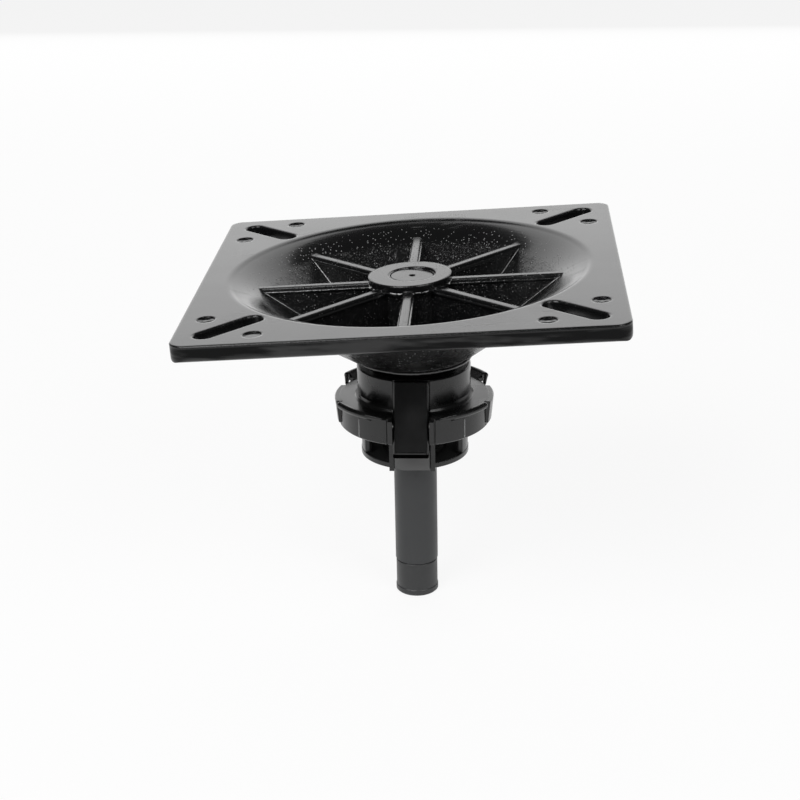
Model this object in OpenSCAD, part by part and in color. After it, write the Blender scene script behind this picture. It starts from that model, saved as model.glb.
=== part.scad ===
// Swivel seat base: a cast seat plate on a king pin, turning in a moulded collar
// that caps a pedestal tube. Lengths are in millimetres. The pin is the Z axis,
// and z = 0 is the plane in which the collar rests on the tube's end.

/* [Seat plate] */
// Side of the square plate
plate_w = 178; // [170:1:190]
// Depth of the plate's edge
plate_edge_t = 7; // [6:0.5:9]
// Thickness of the plate inside its edge
plate_t = 5; // [4:0.5:6]
// Width of the rim that runs round the underside
edge_rim_w = 6; // [4:0.5:8]
// Radius of the corners in plan
plate_corner_r = 7; // [3:0.5:12]
// Rounding of the plate's lower edge
plate_round = 2; // [1:0.25:2.5]
// Rounding of its upper edge
top_round = 0.6; // [0.3:0.1:1]
// Pitch of the plate in degrees, with the +X side raised
pitch = 3; // [0:0.5:5]
// Distance from the pin's axis to the plate's middle, towards -X
plate_shift = 1.2; // [0:0.1:3]

/* [Bolt slots] */
// Metal between the bowl's rim and a slot's inner end
slot_clear = 3.4; // [2.5:0.1:5]
// Distance of a slot's outer centre from the plate's side
slot_edge = 12.7; // [11:0.1:17]
// Width of a slot, for a bolt of 8 mm
slot_w = 8.5; // [6:0.5:10]
// Rounding of a slot's upper edge
slot_round = 1; // [0.5:0.1:1.5]
// Width of the land round a slot on the underside
slot_land = 3.5; // [2:0.5:4]
// Diameter of the shallow round marks beside the slots
mark_d = 7.6; // [5:0.2:9]
// Depth of these marks
mark_depth = 0.6; // [0.3:0.1:1.5]
// Distance of a mark's middle from the nearer side of the plate
mark_edge = 10.4; // [9:0.2:13]
// Distance of a mark's middle from the other side
mark_corner = 31.9; // [30:0.2:34]

/* [Bowl] */
// Width of the plate between the bowl's rim and the middle of a side
bowl_margin = 12.5; // [11:0.5:17]
// Thickness of the bowl's wall
bowl_wall = 4; // [3:0.25:5]
// Depth of the bowl's outside below the plate's top
bowl_depth = 36; // [34:0.5:38]
// Radius of the bowl's outside at that depth
bowl_foot_r = 29.5; // [28:0.5:32]
// Width of the soft shoulder that leads down into the dish
shoulder_w = 14.5; // [11:0.5:18]
// Depth of the dish there below the plate's top
shoulder_drop = 7.7; // [6:0.1:9]

/* [Ribs and hub] */
// Number of ribs
rib_n = 8; // [4:1:12]
// Width of a rib at its top
rib_w = 4; // [3:0.25:6]
// Draft of the ribs' sides in degrees
rib_draft = 2; // [0.5:0.5:3]
// Depth of the ribs' tops below the plate's top
rib_drop = 5.5; // [4.5:0.1:7]
// Distance from the bowl's rim to the ribs' round ends
rib_end_gap = 12; // [9:0.5:14]
// Radius of the hub's raised disc
hub_r = 17.8; // [16.5:0.1:21]
// Depth of the hub's top below the plate's top
hub_drop = 2.85; // [1.5:0.05:3.2]
// Thickness of the hub's disc
hub_disc_t = 3.2; // [2:0.2:5]
// Radius of the column under that disc
hub_core_r = 15.5; // [14:0.5:16]
// Radius of the neck at its lower rim
neck_r = 25.2; // [23:0.2:27]
// Length of the neck between its lower rim and the bowl's foot
neck_len = 3.9; // [3:0.1:12]
// Height of the neck's rim above the sleeve
neck_rise = 2.8; // [2.4:0.1:4]

/* [King pin] */
// Diameter of the pin, three quarters of an inch
pin_d = 19.05; // [18:0.05:20]
// Length of the pin below the tube's end, with its end bush
pin_below = 92.3; // [80:0.5:120]
// Depth of the pin's end below the plate's top, on the axis
pin_end_drop = 3.6; // [3:0.1:5]
// Length of the end bush
end_bush_len = 15.7; // [12:0.1:25]
// Height of the end bush's lip
end_lip_h = 3; // [1.5:0.1:5]
// Width of the relief groove below the lower journal
relief_w = 1; // [0.8:0.1:2]
// Depth of that groove
relief_depth = 0.4; // [0.2:0.1:0.8]
// Diameter of the roll pin through the neck
roll_pin_d = 6; // [4:0.5:6]

/* [Collar] */
// Outer radius of the sleeve
sleeve_r = 24.75; // [23.5:0.25:26]
// Height of the sleeve above the tube's end
sleeve_h = 17.3; // [15:0.1:18]
// Wall of the sleeve
sleeve_wall = 4; // [3.5:0.25:5]
// Thickness of the flange
flange_t = 2.7; // [2:0.1:4]
// Width of the flange outside the sleeve
flange_w = 8.25; // [7.5:0.05:9]
// Wall of the skirt, which hangs outside a pedestal tube of 60.3 mm
skirt_wall = 2.55; // [2.2:0.05:3]
// Length of the skirt below the tube's end
skirt_len = 8.9; // [7:0.1:10]
// Height by which the four blocks stand out from the skirt
block_proud = 1.75; // [1.3:0.05:2.4]
// Draft of a block's face, from its top to its lower end
block_draft = 0.9; // [0.3:0.1:1.2]
// Width of a block
block_w = 19.5; // [19:0.1:21]
// Height of the blocks' lower ends above the skirt's edge
block_rise = 1.6; // [0.5:0.1:2.5]
// Height of the front block's lower end above that edge
front_rise = 0.7; // [0.2:0.1:1.5]
// Width of the groove at each side of a block
seam_w = 0.6; // [0.4:0.1:1]
// Distance of a finger lip's round bead outside the flange
lip_out = 2.95; // [1.5:0.05:4]
// Height of the bead's middle above the flange
lip_rise = 1.4; // [0.8:0.1:2.5]
// Diameter of the bead
lip_w = 2.9; // [2.2:0.1:3.4]
// Angle that a finger lip's bead spans
lip_span = 28; // [16:1:34]

/* [Cage] */
// Distance of the cage's columns inside the sleeve's outer face
cage_inset = 1.35; // [1.2:0.05:2]
// Wall of the columns
cage_wall = 2.5; // [2:0.1:3]
// Width of a column
column_w = 19.7; // [18:0.1:21]
// Depth of the cheeks beside the lever's foot
cheek_out = 1.9; // [1:0.1:2.4]
// Length of the cage below the tube's end
cage_len = 23.6; // [22:0.1:28]
// Thickness of the cage's bottom plate
cage_floor_t = 2.1; // [1.8:0.1:3]
// Thickness of the cage's top plate
cage_top_t = 3; // [2:0.1:4]
// Distance of the cage's screws inside the sleeve's outer face
screw_inset = 7.25; // [6.8:0.05:7.5]
// Diameter of a screw
screw_d = 2.8; // [2.2:0.1:3]
// Diameter of a screw's head
screw_head_d = 5.4; // [4.6:0.1:5.6]
// Height of a screw's head
screw_head_h = 1.8; // [1.2:0.1:2.2]
// Height of the screws' bosses in the collar
boss_h = 10; // [8:0.5:12]

/* [Release lever] */
// Width of the lever's face
lever_w = 13.7; // [12:0.1:14]
// Bevel along the sides of the face
lever_bevel = 0.7; // [0.5:0.05:1.2]
// Distance of the face's lower edge outside the sleeve
lever_throw = 10.15; // [9.5:0.05:12]
// Drop of the face's lower edge below the tube's end
lever_drop = 11.2; // [10:0.1:12]
// Distance of the pivot outside the sleeve
pivot_out = 3.85; // [3.4:0.05:4.6]
// Drop of the pivot below the tube's end
pivot_drop = 1; // [0.6:0.1:2]
// Diameter of the pivot pin
pivot_d = 2.5; // [2:0.1:3]
// Travel of the lever in degrees
lever_travel = 6; // [4:0.5:6]
// Drop of the latch tooth's middle below the tube's end
tooth_drop = 14; // [13.5:0.1:15]
// Thickness of the latch tooth
tooth_t = 3; // [2:0.1:3.2]
// Width of the latch tooth
tooth_w = 6; // [4:0.5:6.4]
// Opening in the cage above the latch tooth
tooth_room = 4.5; // [3:0.5:5]

/* [Fits] */
// Radial clearance of the running fits
run_gap = 0.05; // [0.02:0.01:0.09]
// Clearance between parts that move past each other
free_gap = 0.3; // [0.2:0.05:0.4]
// Axial clearance under the thrust washer
thrust_gap = 0.2; // [0.1:0.05:0.4]

/* [Hidden] */
$fn = 96;
eps = 0.01;
big = 200;

pin_r = pin_d / 2;
bowl_r = plate_w / 2 - bowl_margin;
shoulder_r = bowl_r - shoulder_w;
rib_end_r = bowl_r - rib_end_gap;
slot_in = (bowl_r + slot_clear + slot_w / 2) / sqrt(2);
slot_out = plate_w / 2 - slot_edge;
mark_far = plate_w / 2 - mark_edge;
mark_near = plate_w / 2 - mark_corner;
neck_z = sleeve_h + neck_rise;
seat_h = neck_z + neck_len + bowl_depth;
washer_t = 2;
bush_r = 12;
skirt_r = sleeve_r + flange_w;
socket_r = skirt_r - skirt_wall;
block_r = skirt_r + block_proud;
cage_r = sleeve_r - cage_inset;
screw_r = sleeve_r - screw_inset;
lever_reach = sleeve_r + lever_throw;
pivot_y = sleeve_r + pivot_out;
cage_floor_z = -cage_len + cage_floor_t;
lever_back_y = sleeve_r + free_gap;
lever_half = lever_w / 2 + lever_bevel;
slot_half = lever_half + free_gap;
lever_top_z = sleeve_h - 0.2;
pocket_y = lever_back_y - (lever_top_z + pivot_drop) * sin(lever_travel) - free_gap;
spring_z = sleeve_h - 3.3;

// A square of side w with its corners rounded by r, about the origin
module rounded_square(w, r) {
    square([w - 2 * r, w], center = true);
    square([w, w - 2 * r], center = true);
    for (x = [-1, 1], y = [-1, 1])
        translate([x * (w / 2 - r), y * (w / 2 - r)]) circle(r);
}

// One slot outline on the diagonal, widened by grow on each side
module slot_outline(grow = 0) {
    width = slot_w + 2 * grow;
    near = slot_in * sqrt(2);
    far = slot_out * sqrt(2);
    rotate(45) {
        translate([near, -width / 2]) square([far - near, width]);
        translate([near, 0]) circle(d = width);
        translate([far, 0]) circle(d = width);
    }
}

// Section across the plate with its corners rounded
module edge_section() {
    half = plate_w / 2;
    translate([-half, -plate_edge_t + plate_round])
        square([plate_w, plate_edge_t - plate_round - top_round]);
    translate([-half + plate_round, -plate_edge_t]) square([plate_w - 2 * plate_round, plate_edge_t]);
    translate([-half + top_round, -plate_t]) square([plate_w - 2 * top_round, plate_t]);
    for (s = [-1, 1]) {
        translate([s * (half - plate_round), -plate_edge_t + plate_round]) circle(plate_round);
        translate([s * (half - top_round), -top_round]) circle(top_round);
    }
}

// The casting's own frame: its middle on the plate's top face, pitched on the pin
module at_plate() {
    translate([0, 0, seat_h]) rotate([0, -pitch, 0]) translate([-plate_shift, 0, 0]) children();
}

// The plate with its rounded edge, before anything is cut in it
module plate_blank() {
    intersection() {
        translate([0, 0, -plate_edge_t]) linear_extrude(plate_edge_t) rounded_square(plate_w, plate_corner_r);
        rotate([90, 0, 0]) linear_extrude(plate_w + 2, center = true) edge_section();
        rotate([90, 0, 90]) linear_extrude(plate_w + 2, center = true) edge_section();
    }
}

// What is cored out of the underside, with lands left round the slots
module underside_core() {
    translate([0, 0, -plate_edge_t - 1]) linear_extrude(plate_edge_t - plate_t + 1)
        difference() {
            rounded_square(plate_w - 2 * edge_rim_w, plate_corner_r);
            for (a = [0:90:270]) rotate(a) slot_outline(slot_land);
        }
}

// Points of a quadratic curve from a to c, pulled towards b
function curve(a, b, c, n) = [for (i = [0:n]) let (t = i / n)
    (1 - t) * (1 - t) * a + 2 * t * (1 - t) * b + t * t * c];

// Half of the section of a slot's rounded upper edge
module slot_section() {
    half = slot_w / 2;
    polygon(concat([[0, 1], [half + slot_round, 1]],
        curve([half + slot_round, 0], [half, 0], [half, -slot_round], 4), [[0, -slot_round]]));
}

// What is cut from the plate by that rounding
module slot_edge_cut() {
    near = slot_in * sqrt(2);
    far = slot_out * sqrt(2);
    rotate(45) {
        for (s = [0, 1]) translate([near, 0, 0]) rotate([90, 0, 90])
            linear_extrude(far - near) mirror([s, 0]) slot_section();
        for (x = [near, far]) translate([x, 0, 0]) rotate_extrude() slot_section();
    }
}

// The dish's wall is straight from the shoulder down to the foot
bowl_top_r = bowl_r + 2.5;
foot_in_r = bowl_foot_r + 1;
wall_rise = bowl_wall / cos(atan((bowl_depth - shoulder_drop) / (shoulder_r + 1 - bowl_foot_r)));
bowl_floor_z = -bowl_depth + wall_rise;
wall_slope = (-shoulder_drop - bowl_floor_z) / (shoulder_r - foot_in_r);

// Inner surface of the dish from its rim to its floor
function dish_curve() = concat(
    [[bowl_r + 1.8, 0], [bowl_r + 0.8, -0.1], [bowl_r, -0.35]],
    curve([bowl_r - 1, -0.8], [shoulder_r + 7, -shoulder_drop + 7 * wall_slope],
        [shoulder_r, -shoulder_drop], 8),
    curve([foot_in_r + 2, bowl_floor_z + 2 * wall_slope], [foot_in_r, bowl_floor_z],
        [foot_in_r - 2.5, bowl_floor_z], 3));

// The solid of the bowl, before its inside is taken out
module bowl_blank() {
    rotate_extrude() polygon([
        [0, -bowl_depth - 1], [bowl_foot_r - 1.6, -bowl_depth - 1], [bowl_foot_r, -bowl_depth],
        [shoulder_r + 1, -shoulder_drop - wall_rise], [bowl_top_r, -plate_t], [bowl_top_r, -1], [0, -1]]);
}

// The neck below the bowl, square to the pin, with a round bead at its lower rim
module neck_blank() {
    bead = 0.9;
    rotate_extrude() {
        translate([neck_r - bead, neck_z + bead]) circle(bead);
        polygon([
            [0, neck_z], [neck_r - bead, neck_z], [neck_r, neck_z + bead], [neck_r - 0.4, neck_z + 2],
            [bowl_foot_r + 0.6, seat_h - bowl_depth + 1.6], [bowl_foot_r - 3, seat_h - bowl_depth + 4],
            [0, seat_h - bowl_depth + 4]]);
    }
}

// Space inside the dish, before its ribs and hub
module dish_space() {
    rotate_extrude() polygon(concat([[0, 1], [bowl_r + 1.8, 1]], dish_curve(), [[0, bowl_floor_z]]));
}

// One rib from the hub out to the dish, with drafted sides and a rounded end
module rib() {
    depth = bowl_depth + 2;
    foot_half = rib_w / 2 + (depth - rib_drop) * tan(rib_draft);
    top_half = rib_w / 2;
    rotate([90, 0, 90]) linear_extrude(rib_end_r) polygon([
        [-foot_half, -depth], [foot_half, -depth], [top_half, -rib_drop - 0.5],
        [top_half - 0.5, -rib_drop], [0.5 - top_half, -rib_drop], [-top_half, -rib_drop - 0.5]]);
    translate([rib_end_r, 0, -depth]) rotate_extrude() polygon([
        [0, 0], [foot_half, 0], [top_half, depth - rib_drop - 0.5], [top_half - 0.5, depth - rib_drop],
        [0, depth - rib_drop]]);
}

// The hub's disc on its column
module hub() {
    translate([0, 0, -hub_drop - hub_disc_t]) cylinder(h = hub_disc_t, r = hub_r);
    translate([0, 0, -bowl_depth]) cylinder(h = bowl_depth - hub_drop - hub_disc_t + eps, r = hub_core_r);
}

// Everything that the bowl leaves open
module bowl_space() {
    difference() {
        dish_space();
        for (i = [0:rib_n - 1]) rotate(i * 360 / rib_n) rib();
        hub();
    }
}

module seat_plate() {
    color("#2b2e2e") difference() {
        union() {
            at_plate() {
                difference() {
                    plate_blank();
                    underside_core();
                }
                bowl_blank();
            }
            neck_blank();
        }
        at_plate() {
            bowl_space();
            for (a = [0:90:270]) rotate(a) {
                translate([0, 0, -plate_edge_t - 1]) linear_extrude(plate_edge_t + 2) slot_outline();
                slot_edge_cut();
                translate([mark_far, mark_near, -mark_depth]) cylinder(h = 2, d = mark_d);
                translate([mark_near, mark_far, -mark_depth]) cylinder(h = 2, d = mark_d);
            }
        }
        translate([0, 0, neck_z - 1]) cylinder(h = seat_h, r = pin_r);
        translate([0, 0, seat_h - pin_end_drop - 0.8]) cylinder(h = 20, r = pin_r + 0.6);
        roll_pin_hole();
    }
}

roll_pin_z = neck_z + 1.2 + roll_pin_d / 2;
roll_pin_len = 2 * neck_r - 4;

module roll_pin_hole() {
    translate([0, 0, roll_pin_z]) rotate([0, 90, 0])
        cylinder(h = 2 * bowl_foot_r + 6, d = roll_pin_d, center = true);
}

// Ring groove in which the latch tooth runs
groove_r = pin_r - 1.25;
groove_half = tooth_t / 2 + 1.5;
spigot_r = 7.5;
relief_z = -cage_len - 1;
end_bush_z = -pin_below;
shoulder_z = end_bush_z + end_bush_len + 0.2;
end_wall_t = 1;

module swivel_pin() {
    top = seat_h - pin_end_drop;
    color("#484a4c") difference() {
        rotate_extrude() polygon([
            [0, end_bush_z + end_wall_t], [spigot_r, end_bush_z + end_wall_t], [spigot_r, shoulder_z],
            [pin_r - 0.3, shoulder_z], [pin_r, shoulder_z + 0.3], [pin_r, relief_z - relief_w],
            [pin_r - relief_depth, relief_z - relief_w], [pin_r - relief_depth, relief_z], [pin_r, relief_z],
            [pin_r, -tooth_drop - groove_half], [groove_r, -tooth_drop - groove_half],
            [groove_r, -tooth_drop + groove_half], [pin_r, -tooth_drop + groove_half],
            [pin_r, top - 0.6], [pin_r - 0.6, top], [1.6, top], [0, top - 1.4]]);
        roll_pin_hole();
    }
}

module hub_roll_pin() {
    color("#8a8c8e") difference() {
        translate([0, 0, roll_pin_z]) rotate([0, 90, 0]) difference() {
            cylinder(h = roll_pin_len, d = roll_pin_d, center = true);
            cylinder(h = roll_pin_len + 2, d = roll_pin_d - 2, center = true);
        }
        translate([0, 0, roll_pin_z + roll_pin_d / 2])
            cube([roll_pin_len + 2, 0.8, roll_pin_d], center = true);
    }
}

module pin_end_bush() {
    outer = pin_r - 0.25;
    color("#3a3c3e") rotate_extrude() polygon([
        [0, end_bush_z], [pin_r - 0.6, end_bush_z], [pin_r, end_bush_z + 0.6],
        [pin_r, end_bush_z + end_lip_h - 0.3], [outer, end_bush_z + end_lip_h],
        [outer, end_bush_z + end_bush_len - 0.4], [outer - 0.4, end_bush_z + end_bush_len],
        [spigot_r, end_bush_z + end_bush_len], [spigot_r, end_bush_z + end_wall_t],
        [0, end_bush_z + end_wall_t]]);
}

module thrust_washer() {
    color("#d8d8d2") translate([0, 0, neck_z - washer_t]) difference() {
        cylinder(h = washer_t, r = bush_r + 6);
        translate([0, 0, -1]) cylinder(h = washer_t + 2, r = pin_r);
    }
}

// One finger lip about +X: a bead that flares up and out of the flange, with tapered ends
module finger_lip() {
    bead = lip_w / 2;
    bead_r = skirt_r + lip_out;
    bead_z = flange_t + lip_rise;
    end_run = 6.4;
    rotate(-lip_span / 2) rotate_extrude(angle = lip_span) {
        translate([bead_r, bead_z]) circle(bead);
        polygon([
            [skirt_r - 3, flange_t - 1.5], [skirt_r - 1.4, flange_t],
            [bead_r - 0.5 * bead, bead_z + 0.75 * bead], [bead_r + 0.4 * bead, bead_z - 0.83 * bead],
            [skirt_r - 0.3, flange_t - 2.2]]);
    }
    for (s = [-1, 1]) rotate(s * lip_span / 2) translate([bead_r, 0, bead_z]) {
        sphere(bead);
        rotate([0, 105, s * 123]) cylinder(h = end_run, r1 = 0.92 * bead, r2 = 0.5 * bead);
    }
}

// Ring from which a block is cut, with its drafted face
module block_ring(low_z) {
    rotate_extrude() polygon([
        [socket_r, low_z], [block_r - block_draft, low_z], [block_r, flange_t - 0.6],
        [block_r - 0.5, flange_t - 0.1], [socket_r, flange_t - 0.1]]);
}

// The two grooves beside a block about +X
module block_seams() {
    floor_x = sqrt(skirt_r * skirt_r - block_w * block_w / 4) - 1;
    for (y = [-block_w / 2 - seam_w, block_w / 2]) translate([floor_x, y, -skirt_len - 1])
        cube([block_r, seam_w, skirt_len + flange_t + 2]);
}

// Sleeve, flange and skirt as one turned outline
module collar_shell() {
    flare = 1.3;
    rotate_extrude() polygon([
        [sleeve_r - sleeve_wall, 0], [sleeve_r - sleeve_wall, sleeve_h], [sleeve_r - 0.5, sleeve_h],
        [sleeve_r, sleeve_h - 0.5], [sleeve_r, flange_t + 2.6], [sleeve_r + 0.25 * flare, flange_t + 1.4],
        [sleeve_r + 0.6 * flare, flange_t + 0.5], [sleeve_r + flare, flange_t],
        [skirt_r - 0.5, flange_t], [skirt_r, flange_t - 0.5], [skirt_r, -skirt_len + 0.4],
        [skirt_r - 0.4, -skirt_len], [socket_r, -skirt_len], [socket_r, 0]]);
}

hub_tube_r = bush_r + 3;
front_low_z = -skirt_len + front_rise;
hub_tube_h = sleeve_h - 2;
bush_flange_z = neck_z - washer_t - thrust_gap;
screw_hole = boss_h - 1;

module collar_housing() {
    boss_r = screw_d / 2 + 1.8;
    color("#222425") difference() {
        union() {
            collar_shell();
            cylinder(h = flange_t, r = sleeve_r);
            cylinder(h = hub_tube_h, r = hub_tube_r);
            for (a = [0:90:270]) rotate(a) intersection() {
                block_ring(a == 270 ? front_low_z : -skirt_len + block_rise);
                translate([0, -block_w / 2, -skirt_len]) cube([block_r + 1, block_w, skirt_len + 5]);
            }
            for (x = [-block_w / 2, slot_half]) translate([x, -skirt_r + 1, front_low_z])
                cube([block_w / 2 - slot_half, skirt_r - 1 - lever_back_y, flange_t - front_low_z]);
            for (a = [45:90:315]) rotate(a) {
                finger_lip();
                rotate(a % 180 == 45 ? 2 : -2) translate([skirt_r - 0.05, 0, -skirt_len + 0.4])
                    cylinder(h = skirt_len + flange_t - 2, r = 0.3);
                translate([screw_r, 0, 0]) cylinder(h = boss_h, r = boss_r);
                translate([hub_tube_r - 1, -1, 0])
                    cube([sleeve_r - sleeve_wall - hub_tube_r + 2, 2, hub_tube_h - 1]);
            }
        }
        for (a = [0:90:270]) rotate(a) block_seams();
        translate([0, 0, -1]) cylinder(h = big, r = bush_r);
        translate([-slot_half, -big, -big / 2]) cube([2 * slot_half, big - pocket_y, big]);
        translate([0, -pivot_y, -pivot_drop]) rotate([0, 90, 0])
            cylinder(h = block_w + 2, d = pivot_d, center = true);
        for (a = [45:90:315]) rotate(a) translate([screw_r, 0, -1]) cylinder(h = screw_hole + 1, d = screw_d);
    }
}

module collar_cage() {
    color("#1f2122") difference() {
        union() {
            translate([0, 0, -cage_top_t]) cylinder(h = cage_top_t, r = cage_r);
            intersection() {
                difference() {
                    translate([0, 0, cage_floor_z]) cylinder(h = -cage_floor_z, r = cage_r);
                    translate([0, 0, cage_floor_z - 1]) cylinder(h = cage_len, r = cage_r - cage_wall);
                }
                for (a = [0, 90]) rotate(a) cube([column_w, 2 * cage_r + 2, 2 * cage_len], center = true);
            }
            translate([0, 0, -cage_len]) cylinder(h = cage_floor_t, r = cage_r + 0.2);
            for (x = [-column_w / 2, slot_half]) translate([x, -cage_r - cheek_out, -cage_len])
                cube([column_w / 2 - slot_half, cheek_out + cage_wall, cage_len + front_low_z - 0.4]);
        }
        translate([0, 0, -cage_len - 1]) cylinder(h = cage_len + 2, r = bush_r);
        translate([-tooth_w / 2 - 1, -cage_r - 1, cage_floor_z])
            cube([tooth_w + 2, 2 * cage_wall, tooth_t / 2 + tooth_room - tooth_drop - cage_floor_z]);
        for (a = [45:90:315]) rotate(a) translate([screw_r, 0, -cage_top_t - 1])
            cylinder(h = cage_top_t + 2, d = screw_d);
    }
}

module cage_screws() {
    head_r = screw_head_d / 2;
    low = -screw_head_h;
    color("#9a9c9e") for (a = [45:90:315]) rotate(a) translate([screw_r, 0, -cage_top_t]) difference() {
        union() {
            cylinder(h = cage_top_t + screw_hole - 0.4, d = screw_d);
            rotate_extrude() polygon([
                [0, 0], [head_r, 0], [head_r, 0.4 * low], [0.7 * head_r, low], [0, low]]);
        }
        for (b = [0, 90]) rotate(b) translate([0, 0, low])
            cube([0.6 * screw_head_d, 0.13 * screw_head_d, screw_head_h], center = true);
    }
}

module upper_bush() {
    color("#c9c9c2") rotate_extrude() polygon([
        [pin_r + run_gap, 0], [bush_r, 0], [bush_r, hub_tube_h], [bush_r + 6, hub_tube_h],
        [bush_r + 6, bush_flange_z], [pin_r + run_gap + 0.5, bush_flange_z],
        [pin_r + run_gap, bush_flange_z - 0.5]]);
}

module lower_bush() {
    color("#c9c9c2") rotate_extrude() polygon([
        [pin_r + run_gap, -cage_len], [bush_r, -cage_len], [bush_r, cage_floor_z], [bush_r + 2, cage_floor_z],
        [bush_r + 2, cage_floor_z + 1.5], [bush_r - 0.6, cage_floor_z + 2.1],
        [pin_r + run_gap, cage_floor_z + 2.1]]);
}

// The lever is drawn with its outward side along +X of a side view and turned to face -Y
lever_lean = atan((lever_reach - sleeve_r - 0.65) / (lever_top_z + lever_drop));
ledge_t = 2.2;
foot_y = sleeve_r + 1.25;
foot_t = 1.7;
foot_end_z = -cage_len + 0.3;
foot_taper = 6;

module lever_side() {
    polygon([
        [lever_back_y, lever_top_z], [sleeve_r + 0.65, lever_top_z], [lever_reach, -lever_drop],
        [lever_reach - 0.4, -lever_drop - ledge_t], [foot_y + 1.2, -lever_drop - ledge_t],
        [foot_y, -lever_drop - ledge_t - 1.2], [foot_y - 0.5, foot_end_z], [foot_y - foot_t, foot_end_z],
        [foot_y - foot_t, -lever_drop + 0.8], [lever_back_y, -lever_drop + 2]]);
}

module release_lever() {
    half = lever_w / 2;
    color("#17191a") difference() {
        intersection() {
            rotate([90, 0, -90]) linear_extrude(2 * lever_half, center = true) lever_side();
            translate([0, -sleeve_r - 0.65, lever_top_z]) rotate([-lever_lean, 0, 0])
                linear_extrude(3 * cage_len, center = true) polygon([
                    [-half, 0], [half, 0], [lever_half, lever_bevel], [lever_half, lever_reach],
                    [-lever_half, lever_reach], [-lever_half, lever_bevel]]);
        }
        translate([0, -pivot_y, -pivot_drop]) rotate([0, 90, 0])
            cylinder(h = 2 * lever_half + 2, r = pivot_d / 2 + run_gap, center = true);
        foot_trim(half);
        translate([-tooth_w / 2, -(foot_y - foot_t + 1), -tooth_drop - tooth_t / 2])
            cube([tooth_w, 3, tooth_t]);
    }
}

// What is cut from the sides of the foot: straight on the right, tapered on the left
module foot_trim(half) {
    top_z = -lever_drop - ledge_t;
    depth = top_z - foot_end_z + 1;
    translate([half, -foot_y - 1, top_z - depth]) cube([5, 5, depth]);
    translate([-half, -foot_y - 1, top_z]) rotate([0, -foot_taper, 0])
        translate([-6, 0, -depth - 2]) cube([6, 5, depth + 2]);
}

module latch_tooth() {
    root_y = foot_y - foot_t + 1;
    tip_y = groove_r + 0.7;
    color("#7d8082") translate([-tooth_w / 2, -root_y, -tooth_drop - tooth_t / 2])
        cube([tooth_w, root_y - tip_y, tooth_t]);
}

module lever_pivot_pin() {
    color("#9a9c9e") translate([0, -pivot_y, -pivot_drop]) rotate([0, 90, 0])
        cylinder(h = block_w - 0.4, d = pivot_d, center = true);
}

// Conical spring behind the lever's upper end, along Y, whose turns nest when it is pressed flat
spring_len = lever_back_y - pocket_y - 0.1;
spring_wire = 0.3;
spring_small_r = 1.1;
spring_turns = 3;

function coil_r(t) = spring_small_r + 1.6 * spring_wire * spring_turns * t;
function coil_point(t) = [
    coil_r(t) * cos(360 * spring_turns * t),
    -pocket_y - 0.05 - spring_wire / 2 - t * (spring_len - spring_wire),
    spring_z + coil_r(t) * sin(360 * spring_turns * t)];
function coil_side(t) = [cos(360 * spring_turns * t), 0, sin(360 * spring_turns * t)];

module lever_spring() {
    steps = 16 * spring_turns;
    sides = 6;
    points = [for (i = [0:steps], k = [0:sides - 1])
        coil_point(i / steps)
        + spring_wire / 2 * (cos(360 * k / sides) * coil_side(i / steps) + sin(360 * k / sides) * [0, 1, 0])];
    walls = [for (i = [0:steps - 1], k = [0:sides - 1])
        [i * sides + k, (i + 1) * sides + k, (i + 1) * sides + (k + 1) % sides, i * sides + (k + 1) % sides]];
    start = [[for (k = [0:sides - 1]) k]];
    end = [[for (k = [sides - 1:-1:0]) steps * sides + k]];
    color("#9a9c9e") polyhedron(points, concat(walls, start, end));
}

seat_plate();
swivel_pin();
hub_roll_pin();
pin_end_bush();
thrust_washer();
collar_housing();
collar_cage();
cage_screws();
upper_bush();
lower_bush();
release_lever();
latch_tooth();
lever_pivot_pin();
lever_spring();
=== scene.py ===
"""Finishes and stage for a cast swivel seat base on its king pin and pedestal collar."""

import math

import bpy
from mathutils import Matrix, Vector


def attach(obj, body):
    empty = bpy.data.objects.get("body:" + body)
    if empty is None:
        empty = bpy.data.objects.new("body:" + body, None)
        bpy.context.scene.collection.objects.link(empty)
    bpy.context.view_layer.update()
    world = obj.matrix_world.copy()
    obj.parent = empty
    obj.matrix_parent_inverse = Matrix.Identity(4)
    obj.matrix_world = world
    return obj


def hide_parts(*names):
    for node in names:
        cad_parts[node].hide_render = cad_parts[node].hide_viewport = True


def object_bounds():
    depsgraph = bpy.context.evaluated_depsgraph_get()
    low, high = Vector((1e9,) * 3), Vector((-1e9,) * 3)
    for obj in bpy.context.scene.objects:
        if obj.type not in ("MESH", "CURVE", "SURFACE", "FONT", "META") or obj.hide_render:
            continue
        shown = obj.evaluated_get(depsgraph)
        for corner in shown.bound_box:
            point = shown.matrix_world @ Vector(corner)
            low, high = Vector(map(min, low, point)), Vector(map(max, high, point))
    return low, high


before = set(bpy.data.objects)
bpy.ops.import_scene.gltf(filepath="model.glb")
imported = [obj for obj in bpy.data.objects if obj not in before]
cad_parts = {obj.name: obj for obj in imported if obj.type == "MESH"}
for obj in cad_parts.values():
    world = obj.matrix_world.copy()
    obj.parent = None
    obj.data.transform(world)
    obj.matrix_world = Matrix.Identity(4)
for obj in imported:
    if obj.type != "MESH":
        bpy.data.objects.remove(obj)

bl_info = {
    "name": "Swivel seat base finishes",
    "version": (1, 0, 0),
    "blender": (4, 5, 0),
    "location": "3D View > Sidebar > Seat Base",
    "description": "Gives the seat base its paint, mouldings, steel and studio",
    "category": "Object",
}

CAD_BOX = [list(corner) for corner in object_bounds()]
FLOOR_Z = CAD_BOX[0][2]
MM = 0.001

# Height of the plate's top on the pin's axis in millimetres, and its pitch in degrees
SEAT_HEIGHT = 60.0
PITCH = 3.0

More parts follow.
